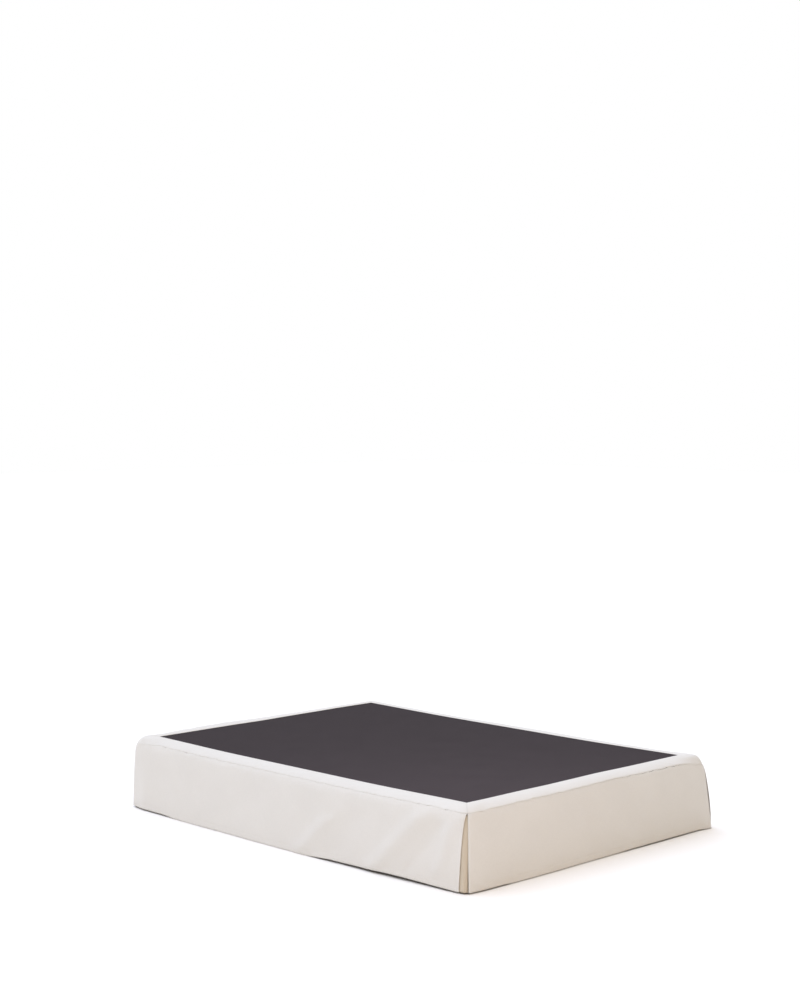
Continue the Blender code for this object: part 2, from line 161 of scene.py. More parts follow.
def corner_run(side, fall=0.0):
    """The run at which a side ends, half way round the corner's arc."""
    return side["half"] - corner_radius(fall) * (1.0 - math.pi / 4)


def to_world(side, run, out):
    """World x and y: run times the way along, plus the distance and out times the way out."""
    along, outward = side["along"], side["outward"]
    x = along[0] * run + outward[0] * (side["distance"] + out)
    y = along[1] * run + outward[1] * (side["distance"] + out)
    return x, y


def outline(side, run, out, fall=0.0):
    """World x and y at a run along the outer line, out of it by out.

    Straight, then an arc of the corner's radius plus out, then straight along the next side.
    """
    corner = corner_radius(fall)
    straight = side["half"] - corner
    past = np.maximum(np.abs(run) - straight, 0.0)
    angle = np.minimum(past / corner, math.pi / 2)
    beyond = np.maximum(past - corner * math.pi / 2, 0.0)
    local_run = np.minimum(np.abs(run), straight) + (corner + out) * np.sin(angle)
    local_out = (corner + out) * np.cos(angle) - corner - beyond
    return to_world(side, np.sign(run) * local_run, local_out)


print("sides", [side["name"] for side in SIDES])

# %% [markdown]
# Sewn cloth has small unevenness that repeats nowhere: it puckers along a seam, and a long edge
# wanders. A few sines of unlike wavelengths, each with its own random start, give that at the cost
# of one line. The seed is fixed, so every run gives the same cloth.

# %% Small unevenness
SEEDS = {
    "panel_across": 11,
    "panel_along": 12,
    "border_swell": 21,
    "border_pucker": 22,
    "seam_wander": 23,
    "drop_swell": 31,
    "drop_pucker": 32,
    "hem_pucker": 33,
}


def wobble(place, wavelengths, seed):
    """The mean of one sine for each wavelength, each with a random start."""
    starts = np.random.default_rng(seed).uniform(0.0, 2 * math.pi, len(wavelengths))
    waves = np.sin(2 * math.pi * place[..., None] / np.array(wavelengths) + starts)
    return waves.mean(axis=-1)


print("uneven", list(SEEDS))

# %% [markdown]
# The top isn't flat. The middle of the box spring lies some millimetres lower, and its padded edge
# stands up in long soft swells. Both are sums of simple bumps, so one height function serves the
# dark panel, the border that lies on it and the seam at the edge.

# %% The top's height
WAVE_COLUMNS = ("side", "run", "height", "half_width", "reach")
WAVES = [
    dict(zip(WAVE_COLUMNS, row))
    for row in (
        ("foot", -0.50, -0.0022, 0.11, 0.14),
        ("foot", -0.20, -0.0015, 0.10, 0.16),
        ("foot", 0.10, 0.0030, 0.12, 0.16),
        ("right", -0.10, 0.0035, 0.35, 0.08),
        ("head", 0.05, -0.0025, 0.12, 0.16),
        ("head", -0.40, 0.0015, 0.12, 0.16),
        ("head", 0.20, 0.0080, 0.32, 0.08),
    )
]


def top_height(x, y):
    """Height of the panel: a smooth dip along the bed, plus a bell-shaped swell for each wave."""
    height = TOP_HEIGHT - TOP_DIP * smooth_step((HALF_LENGTH - np.abs(y)) / DIP_RUN)
    for wave in WAVES:
        side = next(s for s in SIDES if s["name"] == wave["side"])
        run = x * side["along"][0] + y * side["along"][1]
        inward = side["distance"] - (x * side["outward"][0] + y * side["outward"][1])
        bell = np.exp(-(((run - wave["run"]) / wave["half_width"]) ** 2))
        height = height + wave["height"] * bell * (1.0 - smooth_step(inward / wave["reach"]))
    return height


def blended(side, run, values):
    """A side's value, led by smooth steps from its start's to the one along it to its end's."""
    start, along, end = values
    at_corner = np.where(run < 0.0, start, end)
    to_corner = corner_run(side) - np.abs(run)
    return at_corner + (along - at_corner) * smooth_step(to_corner / ROLL_BLEND)


def roll_height(side, run):
    """Height of the border's rolled edge, with the seam's small wander, which ends at corners."""
    to_corner = corner_run(side) - np.abs(run)
    wander = SEAM_WANDER * wobble(run, WANDER_WAVES, SEEDS["seam_wander"])
    wander = wander * smooth_step(to_corner / WANDER_FADE)
    return blended(side, run, (side["start_roll"], side["roll"], side["end_roll"])) + wander


def seam_height(side, run):
    """Height of the seam: the top's, plus the border's rise, less its roll and its turn."""
    x, y = outline(side, run, 0.0)
    return top_height(x, y) + BORDER_RISE - roll_height(side, run) - BORDER_TURN


print(f"panel height in the middle {float(top_height(0.0, 0.0)):.4f} m")

# %% [markdown]
# Every sheet becomes a mesh in the same way. Its points are a grid, so the faces follow from the
# grid's rows and columns, and the numbers go into Blender in whole arrays. The cloth's flat
# pattern, in metres, goes into a UV map: the weave is drawn on it, so the threads follow the cloth
# round every fold. A Solidify modifier then gives the sheet its thickness.

# %% From a grid to a sheet


def flat_pattern(points):
    """Distances along the rows and down the columns of a grid, from its middle column and row."""
    across = np.linalg.norm(np.diff(points, axis=1), axis=2)
    down = np.linalg.norm(np.diff(points, axis=0), axis=2)
    u = np.pad(np.cumsum(across, axis=1), ((0, 0), (1, 0)))
    v = np.pad(np.cumsum(down, axis=0), ((1, 0), (0, 0)))
    u = u - u[:, u.shape[1] // 2][:, None]
    return np.stack((u, v[-1] - v), axis=-1)


def sheet_mesh(name, points, offset, pattern=None):
    """A mesh from a grid of rows by columns by xyz, with its flat pattern as a UV map.

    Rows go outwards and down and columns anticlockwise round the cover, so faces point outwards.
    """
    rows, columns = points.shape[:2]
    index = np.arange(rows * columns).reshape(rows, columns)
    corners = (index[:-1, :-1], index[1:, :-1], index[1:, 1:], index[:-1, 1:])
    faces = np.stack(corners, axis=-1).reshape(-1, 4)
    mesh = bpy.data.meshes.new(name)
    mesh.vertices.add(rows * columns)
    mesh.vertices.foreach_set("co", points.astype(np.float32).ravel())
    mesh.loops.add(faces.size)
    mesh.loops.foreach_set("vertex_index", faces.astype(np.int32).ravel())
    mesh.polygons.add(len(faces))
    mesh.polygons.foreach_set("loop_start", np.arange(0, faces.size, 4, dtype=np.int32))
    mesh.update(calc_edges=True)
    pattern = flat_pattern(points) if pattern is None else pattern
    flat = mesh.uv_layers.new(name="flat")
    flat.data.foreach_set("uv", pattern.reshape(-1, 2)[faces.ravel()].astype(np.float32).ravel())
    mesh.shade_smooth()
    mesh.validate()
    made = bpy.data.objects.new(name, mesh)
    bpy.context.scene.collection.objects.link(made)
    thickness = made.modifiers.new("thickness", "SOLIDIFY")
    thickness.thickness = CLOTH
    thickness.offset = offset
    thickness.use_even_offset = True
    return made


print(f"cloth {1000 * CLOTH:.1f} mm thick")

# %% [markdown]
# The cover is off-white cotton in a plain weave, matt and slightly fuzzy. The threads are a product
# of two sines on the flat pattern, which lifts warp and weft by turns, and it goes into a Bump
# node. Thicker and thinner threads show as faint streaks in both directions, and the dye is a
# little uneven over hand-sized areas. The dark panel and the black base cloth of the box spring are
# the same idea with other colours and thread sizes, so one function makes all the finishes. On the
# panel, painted light makes it paler towards one corner, by a soft bell of the distance from there.

# %% Cloth finishes
FINISH_COLUMNS = ("colour", "streak", "roughness", "sheen", "thread", "relief")
FINISHES = {
    "cover_cloth": ((0.716, 0.689, 0.652), 0.035, 0.92, 0.06, 0.0009, 0.40),
    "panel_cloth": ((0.039, 0.031, 0.034), 0.100, 0.97, 0.02, 0.0012, 0.50),
    # painted shade: the insert is the cover cotton painted darker and warmer, for the shade it
    # hangs in
    "insert_cloth": ((0.590, 0.512, 0.408), 0.035, 0.94, 0.05, 0.0009, 0.40),
    "spring_ticking": ((0.012, 0.010, 0.009), 0.150, 0.97, 0.00, 0.0016, 0.50),
}
STREAK_LENGTH = 12.0  # thread directions are stretched this many times
STREAKS = 700.0  # streaks for each metre across the threads
CLOUDS = 7.0  # patches of uneven dye for each metre
STREAK_DETAIL, CLOUD_DETAIL = 2.0, 3.0
UNEVEN_RANGE = (1.0, 2.0)  # of the sum of both streaks and the patches
SHEEN_ROUGHNESS = 0.5
CLOTH_SPECULAR = 0.06
RELIEF_DEPTH = 0.0003
# painted light: the dark panel is painted paler towards its near corner
PAINTED_LIGHT_PLACE = (-0.62, 0.0)  # the panel's near corner on its flat pattern
PAINTED_LIGHT_REACH = 0.90
PAINTED_LIGHT_SHARE = 0.45  # the panel is paler there by this share


def math_node(tree, operation, first, second=None):
    """A Math node on a socket, with a number or another socket as its second value."""
    made = tree.nodes.new("ShaderNodeMath")
    made.operation = operation
    tree.links.new(first, made.inputs[0])
    if isinstance(second, (int, float)):
        made.inputs[1].default_value = second
    elif second is not None:
        tree.links.new(second, made.inputs[1])
    return made.outputs[0]


def noise_node(tree, place, scale, detail):
    """A Noise texture on a place, stretched by its scale in each direction."""
    mapping = tree.nodes.new("ShaderNodeMapping")
    mapping.inputs["Scale"].default_value = scale
    tree.links.new(place, mapping.inputs["Vector"])
    noise = tree.nodes.new("ShaderNodeTexNoise")
    noise.inputs["Scale"].default_value = 1.0
    noise.inputs["Detail"].default_value = detail
    tree.links.new(mapping.outputs["Vector"], noise.inputs["Vector"])
    return noise.outputs["Fac"]


def add_painted_light(tree, place, tint):
    """Painted light: the tint times one plus a bell of the distance from a place on the flat
    pattern.
    """
    away = tree.nodes.new("ShaderNodeVectorMath")
    away.operation = "DISTANCE"
    away.inputs[1].default_value = (*PAINTED_LIGHT_PLACE, 0.0)
    tree.links.new(place, away.inputs[0])
    share = math_node(tree, "DIVIDE", away.outputs["Value"], PAINTED_LIGHT_REACH)
    square = math_node(tree, "MULTIPLY", math_node(tree, "POWER", share, 2.0), -1.0)
    bell = math_node(tree, "EXPONENT", square)
    more = math_node(tree, "ADD", math_node(tree, "MULTIPLY", bell, PAINTED_LIGHT_SHARE), 1.0)
    return math_node(tree, "MULTIPLY", tint, more)


def cloth_finish(slot, on_pattern=True):
    """A woven finish: a Principled shader whose colour and bump follow the threads."""
    finish = dict(zip(FINISH_COLUMNS, FINISHES[slot]))
    made = bpy.data.materials.new(slot if on_pattern else slot + "_on_solid")
    made.use_nodes = True
    tree = made.node_tree
    shader = tree.nodes["Principled BSDF"]
    shader.inputs["Roughness"].default_value = finish["roughness"]
    shader.inputs["Sheen Weight"].default_value = finish["sheen"]
    shader.inputs["Sheen Roughness"].default_value = SHEEN_ROUGHNESS
    shader.inputs["Specular IOR Level"].default_value = CLOTH_SPECULAR
    if on_pattern:
        source = tree.nodes.new("ShaderNodeUVMap")
        source.uv_map = "flat"
        place = source.outputs["UV"]
    else:
        place = tree.nodes.new("ShaderNodeTexCoord").outputs["Object"]

    apart = tree.nodes.new("ShaderNodeSeparateXYZ")
    tree.links.new(place, apart.inputs[0])
    turns = math.pi / finish["thread"]
    warp = math_node(tree, "SINE", math_node(tree, "MULTIPLY", apart.outputs["X"], turns))
    weft = math_node(tree, "SINE", math_node(tree, "MULTIPLY", apart.outputs["Y"], turns))
    threads = math_node(tree, "MULTIPLY", warp, weft)

    fine, coarse = STREAKS, STREAKS / STREAK_LENGTH
    long_streaks = noise_node(tree, place, (coarse, fine, 1.0), STREAK_DETAIL)
    cross_streaks = noise_node(tree, place, (fine, coarse, 1.0), STREAK_DETAIL)
    clouds = noise_node(tree, place, (CLOUDS, CLOUDS, CLOUDS), CLOUD_DETAIL)
    streaks = math_node(tree, "ADD", long_streaks, cross_streaks)
    uneven = math_node(tree, "ADD", streaks, clouds)

    ramp = tree.nodes.new("ShaderNodeMapRange")
    ramp.inputs["From Min"].default_value = UNEVEN_RANGE[0]
    ramp.inputs["From Max"].default_value = UNEVEN_RANGE[1]
    ramp.inputs["To Min"].default_value = 1.0 - finish["streak"]
    ramp.inputs["To Max"].default_value = 1.0 + finish["streak"]
    tree.links.new(uneven, ramp.inputs["Value"])
    shade = ramp.outputs["Result"]
    # painted light: the dark panel is painted paler towards its near corner
    if slot == "panel_cloth":
        shade = add_painted_light(tree, place, shade)
    tint = tree.nodes.new("ShaderNodeVectorMath")
    tint.operation = "SCALE"
    tint.inputs[0].default_value = finish["colour"]
    tree.links.new(shade, tint.inputs["Scale"])
    tree.links.new(tint.outputs["Vector"], shader.inputs["Base Color"])

    bump = tree.nodes.new("ShaderNodeBump")
    bump.inputs["Strength"].default_value = finish["relief"]
    bump.inputs["Distance"].default_value = RELIEF_DEPTH
    tree.links.new(math_node(tree, "ADD", threads, streaks), bump.inputs["Height"])
    tree.links.new(bump.outputs["Normal"], shader.inputs["Normal"])
    return made


COVER_CLOTH = cloth_finish("cover_cloth")
PANEL_CLOTH = cloth_finish("panel_cloth")
INSERT_CLOTH_PAINTED_SHADE = cloth_finish("insert_cloth")
SPRING_CLOTH = cloth_finish("spring_ticking", on_pattern=False)
print("finishes", [m.name for m in (COVER_CLOTH, PANEL_CLOTH, INSERT_CLOTH_PAINTED_SHADE, SPRING_CLOTH)])

# %% [markdown]
# Each finished sheet is handed over in the same few calls: it gets its finish, it rides on the one
# body, it stands for its solid, which is hidden, and it prints to what size the cloth was cut.

# %% Handing a sheet to the frame


def hand_over(piece, node, material, flat):
    """Gives a sheet its material, hangs it on the root body, hides its solid and prints its cut."""
    piece.data.materials.append(material)
    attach(piece, "root")
    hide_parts(node)
    print(f"{piece.name}: {len(piece.data.vertices)} points, cut {flat[0]:.3f} by {flat[1]:.3f} m")


# %% [markdown]
# The dark panel is stretched over the top and goes on under the border. It could be a plain
# rectangle, but cloth over springs is never dead level: its height function gets faint long swells
# that die away before the border, so the border's edge still lies on it.

# %% The dark centre panel
PANEL_COUNTS = (140, 190)
PANEL_SWELL = 0.0009  # the swells' mean depth
SWELL_FADE = 0.18  # the swells start this far inside the border
PANEL_WAVES_ACROSS = (0.41, 0.29, 0.23)
PANEL_WAVES_ALONG = (0.53, 0.37, 0.31)


def panel_surface():
    """A rectangle at the top's height, less swells that are a product of two wobbles."""
    half_x = HALF_WIDTH - BORDER_WIDTH + PANEL_LAP
    half_y = HALF_LENGTH - BORDER_WIDTH + PANEL_LAP
    across = np.linspace(-half_x, half_x, PANEL_COUNTS[0])
    along = np.linspace(half_y, -half_y, PANEL_COUNTS[1])
    x, y = np.meshgrid(across, along)
    inside = np.minimum(half_x - np.abs(x), half_y - np.abs(y)) - PANEL_LAP
    swell = wobble(x, PANEL_WAVES_ACROSS, SEEDS["panel_across"])
    swell = swell * wobble(y, PANEL_WAVES_ALONG, SEEDS["panel_along"])
    z = top_height(x, y) - PANEL_SWELL * (1.0 + swell) * smooth_step(inside / SWELL_FADE)
    return np.stack((x, y, z), axis=-1), (2 * half_x, 2 * half_y)


points, flat = panel_surface()
panel = sheet_mesh("centre_panel_cloth", points, -1.0)
hand_over(panel, "centre_panel", PANEL_CLOTH, flat)

# %% [markdown]
# The border is a strip for each side, mitred at the corners. Its inner edge is turned under on the
# panel, it crowns slightly over the padding, rolls over the edge and runs down to the seam. That
# is one profile, carried along the side: the rows are the profile's points, and the columns are
# places along the side. At the seam both cloths turn in a little, which makes the seam's soft
# groove without any cut.

# %% The border
BORDER_COUNTS = {"left": 300, "foot": 230, "right": 300, "head": 230}
END_CROWDING = 0.30  # 0 for even columns, 1 for a sine's crowding at the ends
ARC_COUNT = 12  # columns on half a corner's arc
CURL_ROWS, FLAT_ROWS, ROLL_ROWS, TURN_ROWS = 5, 15, 10, 5
EDGE_CURL = 0.0012  # radius of the turned-under inner edge
SEAM_TURN = {  # how far both cloths turn in at the seam: start, along, end
    "left": (0.0002, 0.0002, 0.0004),
    "foot": (0.0004, 0.0010, 0.0006),
    "right": (0.0006, 0.0004, 0.0006),
    "head": (0.0006, 0.0008, 0.0002),
}
MITRE_REACH = 0.0014
SEAM_GAP = {  # between border and drop: start, end
    "left": (0.0001, 0.0001),
    "foot": (0.0001, 0.0008),
    "right": (0.0002, 0.0002),
    "head": (0.0003, 0.0003),
}
SHOULDER = 0.011  # the drop comes out over this height below the seam
ROLL_TURN = math.radians(40)  # the part of the ellipse that the border's roll follows
MITRE_GAP = 0.00005
MITRE_TURN = 0.0001
BORDER_SWELL = 0.0005
BORDER_WAVES = (0.37, 0.26, 0.19)
PUCKER = 0.00022  # small gathers along the seam
PUCKER_WAVES = (0.043, 0.034, 0.027, 0.021)
PUCKER_REACH = 0.022


def stations(side, first, last, fall, count):
    """Runs from first to last, closer together towards the corners and on their arcs."""
    straight = side["half"] - corner_radius(fall)
    low = np.maximum(-straight, first + SOLID_CLOTH)
    high = np.minimum(straight, last - SOLID_CLOTH)
    arc = np.linspace(0.0, 1.0, ARC_COUNT + 1)
    even = np.linspace(-1.0, 1.0, count + 1)
    share = (1.0 - END_CROWDING) * even + END_CROWDING * np.sin(even * math.pi / 2)
    share = (share + 1.0) / 2.0
    parts = (first + (low - first) * arc[:-1], low + (high - low) * share)
    return np.concatenate((*parts, high + (last - high) * arc[1:]), axis=-1)


def border_profile(roll, reach, back, seam_in):
    """Inward distance and depth of each row, from the curl at the inner edge to the seam.

    A quarter turn up at the inner edge, level over a half-sine crown that is higher where it is
    wider, part of an ellipse as high as the roll, and straight down with a last turn inwards. The
    seam lies back from the outer line.
    """
    curl = np.linspace(0.0, math.pi / 2, CURL_ROWS)[:, None]
    flat = np.linspace(0.0, 1.0, FLAT_ROWS + 1)[1:, None]
    turn = np.linspace(0.0, ROLL_TURN, ROLL_ROWS + 1)[1:, None]
    down = np.linspace(0.0, 1.0, TURN_ROWS + 1)[1:, None]
    edge = STRIP_WIDTH - EDGE_CURL
    same = np.zeros_like(roll)
    inward = (
        STRIP_WIDTH - EDGE_CURL * (1.0 - np.cos(curl)) + same,
        edge + (reach - edge) * flat,
        reach + (back - reach) * np.sin(turn) / np.sin(ROLL_TURN),
        back + seam_in * down**3,
    )
    lower = (
        EDGE_CURL * (1.0 - np.sin(curl)) + same,
        -BORDER_CROWN * (edge - reach) / edge * np.sin(math.pi * flat),
        roll * (1.0 - np.cos(turn)) / (1.0 - np.cos(ROLL_TURN)),
        roll + BORDER_TURN * down,
    )
    return np.concatenate(inward), np.concatenate(lower)


def border_surface(side):
    """The profile carried along a side between the two mitres, with its flat cut."""
    end = corner_run(side) - MITRE_GAP
    run = stations(side, np.array([-end]), np.array([end]), 0.0, BORDER_COUNTS[side["name"]])
    outer_x, outer_y = outline(side, run, 0.0)
    inner = run / end * (side["half"] - STRIP_WIDTH - MITRE_GAP)
    inner_x, inner_y = to_world(side, inner, -STRIP_WIDTH)
    roll = roll_height(side, run)[None, :]
    reach, back, turn_in = (
        blended(side, run, table[side["name"]]) for table in (ROLL_REACH, SEAM_BACK, SEAM_TURN)
    )
    inward, lower = border_profile(roll, reach, back, turn_in)
    part = inward / STRIP_WIDTH
    x = outer_x + (inner_x - outer_x) * part
    y = outer_y + (inner_y - outer_y) * part
    middle = np.sin(math.pi * np.clip(part, 0.0, 1.0))
    fine = BORDER_SWELL * wobble(run, BORDER_WAVES, SEEDS["border_swell"]) * middle
    pucker = wobble(run, PUCKER_WAVES, SEEDS["border_pucker"])
    fine = fine + PUCKER * pucker * np.exp(-inward / PUCKER_REACH)
    to_mitre = end - np.abs(run)
    fine = fine - MITRE_TURN * np.exp(-to_mitre / MITRE_REACH)
    z = top_height(x, y) + BORDER_RISE - lower + fine
    width = BORDER_WIDTH + side["roll"] / 2 + BORDER_TURN
    length = 2 * side["half"]
    area = width * (length - BORDER_WIDTH)
    return np.stack((x, y, z), axis=-1), (width, length), area


for side in SIDES:
    points, flat, area = border_surface(side)
    node = "border_" + side["name"]
    border = sheet_mesh("border_cloth_" + side["name"], points, -1.0)
    hand_over(border, node, COVER_CLOTH, flat)

# %% [markdown]
# The drops hang from the seam. The tables say how far each hem swings out and how high it hangs
# at points along its side, and each row of the fold table is one soft fold: a bell-shaped ridge or
# trough that runs slantwise down the cloth and dies away at both ends. These are the folds that
# the solids have too, at the same places.

# %% How the drops hang
FLARE_POWER = {"left": 0.75, "foot": 1.25, "right": 0.80, "head": 1.25}
FLARE_AT = (0.0, 0.05, 0.27, 0.50, 0.60, 0.82, 0.95, 1.0)
FLARE = {
    "left": (0.003, 0.015, 0.026, 0.034, 0.034, 0.026, 0.017, 0.013),
    "foot": (0.006, 0.011, 0.013, 0.008, 0.006, 0.003, 0.002, 0.010),
    "right": (0.035, 0.030, 0.028, 0.032, 0.031, 0.025, 0.014, 0.008),
    "head": (0.006, 0.009, 0.013, 0.010, 0.008, 0.006, 0.004, 0.002),
}
HEM_AT = (0.0, 0.12, 0.16, 0.58, 0.66, 0.84, 0.95, 1.0)
HEM = {
    "left": (0.0060, 0.0050, 0.0006, 0.0005, 0.0075, 0.0105, 0.0065, 0.0045),
    "foot": (0.0050, 0.0045, 0.0020, 0.0020, 0.0045, 0.0050, 0.0040, 0.0020),
    "right": (0.0030, 0.0040, 0.0050, 0.0035, 0.0030, 0.0040, 0.0050, 0.0040),
    "head": (0.0040, 0.0030, 0.0030, 0.0040, 0.0050, 0.0040, 0.0030, 0.0040),
}
FOLD_COLUMNS = ("side", "high", "low", "high_fall", "low_fall", "height", "half_width")
FOLDS = [
    dict(zip(FOLD_COLUMNS, row))
    for row in (
        ("left", 0.070, 0.125, 0.20, 0.76, 0.0060, 0.032),
        ("left", 0.140, 0.260, 0.25, 0.85, -0.0050, 0.040),
        ("left", 0.225, 0.420, 0.17, 0.90, 0.0110, 0.048),
        ("left", 0.560, 0.640, 0.40, 0.85, -0.0040, 0.055),
        ("left", 0.700, 0.800, 0.50, 0.88, 0.0080, 0.045),
        ("foot", 0.330, 0.300, 0.10, 0.95, 0.0030, 0.120),
        ("right", 0.160, 0.300, 0.20, 0.85, 0.0070, 0.050),
        ("right", 0.900, 0.960, 0.20, 0.80, -0.0050, 0.060),
        ("head", 0.450, 0.500, 0.10, 0.90, 0.0040, 0.080),
    )
]
FOLD_FADE = 0.18  # each fold begins and ends over this share of the way down


def along_table(side, run, at, values):
    """A side's table value at a run, counted as a share of the way between its corners."""
    end = corner_run(side)
    return eased((run + end) / (2 * end), at, values[side["name"]])


def fold_height(side, run, fall):
    """The sum of the side's folds: a bell across each fold times a smooth fade at its ends."""
    total = np.zeros(np.broadcast(run, fall).shape)
    from_end = side["half"] - run
    for fold in (f for f in FOLDS if f["side"] == side["name"]):
        share = (fall - fold["high_fall"]) / (fold["low_fall"] - fold["high_fall"])
        middle = fold["high"] + (fold["low"] - fold["high"]) * share
        bell = np.exp(-(((from_end - middle) / fold["half_width"]) ** 2))
        starts = smooth_step((fall - fold["high_fall"] + FOLD_FADE) / FOLD_FADE)
        ends = smooth_step((fold["low_fall"] + FOLD_FADE - fall) / FOLD_FADE)
        total = total + fold["height"] * bell * starts * ends
    return total


print("folds", len(FOLDS))

# %% [markdown]
# Each end of a drop is folded back on itself at the corner, and the slit between two drops opens
# from nothing at the seam to some centimetres at the hem. So a drop's columns start on the inner
# edge of the first return, go round its small fold, along the front, round the other fold and back.
# Run, depth behind the front and rise are worked out for whole rows at once.

# %% The folded ends
FOLD_RADIUS = 0.0009  # of the middle of the cloth
FOLD_STEPS = 8
RETURN_LENGTH = 0.060
RETURN_STEPS = 6
RETURN_RISE = 0.003  # the folded-back hem is this much higher than the outer one
RETURN_SHARE = 0.25  # it ends at the fold with this share of the corner's half arc
SLIT_TOP = 0.0008
SLIT_POWER = 0.42  # below 1, so that the slit opens early
END_COLUMNS = ("start_slit", "end_slit", "start_carry", "end_carry")
END_ROWS = {
    "left": (0.006, 0.026, 0.000, 0.000),
    "foot": (0.003, 0.000, 0.000, 0.022),
    "right": (0.010, 0.012, 0.006, 0.000),
    "head": (0.010, 0.008, 0.000, 0.000),
}
ENDS = {name: dict(zip(END_COLUMNS, row)) for name, row in END_ROWS.items()}
CARRY_RUN = 0.22  # length at a side's end over which its cloth is carried on
CARRY_POWER = 0.8  # below 1, so that this starts high up
DROP_COUNTS = {"left": 320, "foot": 240, "right": 320, "head": 240}


def drop_end(side, which, fall):
    """Run of a folded edge: the corner's, less the slit, which opens with a power of the fall."""
    hem = ENDS[side["name"]][which + "_slit"]
    back = SLIT_TOP + (hem - SLIT_TOP) * fall**SLIT_POWER
    return (corner_run(side, fall) - back) * (1.0 if which == "end" else -1.0)


def carried(side, run):
    """How far the hem is carried on along the side, a smooth step over each end."""
    ends = ENDS[side["name"]]
    at_start = smooth_step(1.0 - (corner_run(side) + run) / CARRY_RUN)
    at_end = smooth_step(1.0 - (corner_run(side) - run) / CARRY_RUN)
    return ends["end_carry"] * at_end - ends["start_carry"] * at_start


def drop_columns(side, fall):
    """Run, depth and rise of every column, for a column of falls."""
    deep = HALF_CLOTH + FOLD_RADIUS
    first = drop_end(side, "start", fall) + deep
    last = drop_end(side, "end", fall) - deep
    front = stations(side, first, last, fall, DROP_COUNTS[side["name"]])
    bent = corner_radius(fall) * math.pi / 4
    far = np.linspace(0.0, 1.0, RETURN_STEPS + 1)[:-1]
    near = np.linspace(0.0, 1.0, RETURN_STEPS)
    far_back = RETURN_LENGTH + (bent + SLIT_TOP - RETURN_LENGTH) * far
    near_back = SLIT_TOP + bent + (RETURN_SHARE - 1.0) * bent * near
    back = np.concatenate((far_back, near_back), axis=-1)
    angle = np.linspace(-math.pi / 2, math.pi / 2, FOLD_STEPS + 1)[:-1]
    turn = FOLD_RADIUS * np.cos(angle)
    run = (first + back, first - turn, front, (last + turn)[:, ::-1], (last - back)[:, ::-1])
    run = np.concatenate(run, axis=-1)
    inner = np.full(back.shape[1], deep + FOLD_RADIUS)
    fold = deep - FOLD_RADIUS * np.sin(angle)
    flat = np.full(front.shape[1], HALF_CLOTH)
    depth = np.concatenate((inner, fold, flat, fold[::-1], inner))
    rise = RETURN_RISE * (depth - HALF_CLOTH) / (2 * FOLD_RADIUS)
    return run, depth, rise


print("returns", RETURN_LENGTH, "m deep")

# %% [markdown]
# A drop's rows are close together where something small happens: at the seam, where the cloth
# turns in, and at the hem's line of stitches, 22 mm up, which draws the cloth in by a fraction of a
# millimetre and leaves it slightly puckered. In between, even rows are enough for the folds.

# %% The drops
HEM_DEPTH = 0.022  # the stitches' height over the hem
HEM_DRAW = 0.00035  # they draw the cloth in by this
HEM_LINE = 0.0022  # over this height on either side
HEM_PUCKER = 0.00030
HEM_WAVES = (0.037, 0.026, 0.019)
DROP_SWELL = 0.0008
DROP_WAVES = (0.47, 0.31, 0.22)
SLANT = 0.35  # the swells run sideways by this share of the way down
SEAM_REACH = 0.0007  # the turned-in cloth comes out over this height
MEAN_DROP = 0.268
TOP_ROWS = (0.0, 0.0004, 0.0009, 0.0016, 0.0026, 0.0045)
HEM_ROWS = (0.0200, 0.0212, 0.0220, 0.0228, 0.0240, 0.0262)
MIDDLE_ROWS, LOW_ROWS = 34, 4


def drop_falls():
    """Shares of the way down: crowded at the seam and the stitches, even in between."""
    top = np.array(TOP_ROWS)
    stitches = MEAN_DROP - np.array(HEM_ROWS)[::-1]
    middle = np.linspace(top[-1], stitches[0], MIDDLE_ROWS)[1:-1]
    low = np.linspace(stitches[-1], MEAN_DROP, LOW_ROWS + 1)[1:]
    return np.concatenate((top, middle, stitches, low))[:, None] / MEAN_DROP


def drop_surface(side):
    """The hanging cloth: from the seam's height to the hem's, pushed out by flare and folds."""
    fall = drop_falls()
    run, depth, rise = drop_columns(side, fall)
    first_gap, last_gap = SEAM_GAP[side["name"]]
    gap = first_gap + (last_gap - first_gap) * smooth_step(run / (2 * side["half"]) + 0.5)
    top = seam_height(side, run) - gap
    bottom = along_table(side, run, HEM_AT, HEM) + rise
    height = top - bottom
    below, above = fall * height, (1.0 - fall) * height
    out = along_table(side, run, FLARE_AT, FLARE) * fall ** FLARE_POWER[side["name"]] - depth
    out = out + fold_height(side, run, fall)
    swell = wobble(run + SLANT * below, DROP_WAVES, SEEDS["drop_swell"])
    swell = swell * np.sin(math.pi * fall)
    pucker = wobble(run, PUCKER_WAVES, SEEDS["drop_pucker"]) * np.exp(-below / PUCKER_REACH)
    hem_pucker = wobble(run, HEM_WAVES, SEEDS["hem_pucker"])
    hem_pucker = hem_pucker * np.exp(-np.abs(above - HEM_DEPTH) / PUCKER_REACH)
    out = out + DROP_SWELL * swell + PUCKER * pucker + HEM_PUCKER * hem_pucker
    out = out - HEM_DRAW * np.exp(-(((above - HEM_DEPTH) / HEM_LINE) ** 2))
    out = out - blended(side, run, SEAM_TURN[side["name"]]) * np.exp(-below / SEAM_REACH)
    out = out - blended(side, run, SEAM_BACK[side["name"]]) * np.exp(-below / SHOULDER)
    x, y = outline(side, run, out, fall)
    shift = carried(side, run) * fall**CARRY_POWER
    x = x + side["along"][0] * shift
    y = y + side["along"][1] * shift
    points = np.stack((x, y, top - below), axis=-1)
    pattern = flat_pattern(points)
    pattern[..., 1] = above
    return points, pattern, (MEAN_DROP, 2 * (corner_run(side) + RETURN_LENGTH))


for side in SIDES:
    points, pattern, flat = drop_surface(side)
    drop = sheet_mesh("drop_cloth_" + side["name"], points, 0.0, pattern)
    border = "border_cloth_" + side["name"]
    hand_over(drop, "drop_" + side["name"], COVER_CLOTH, flat)
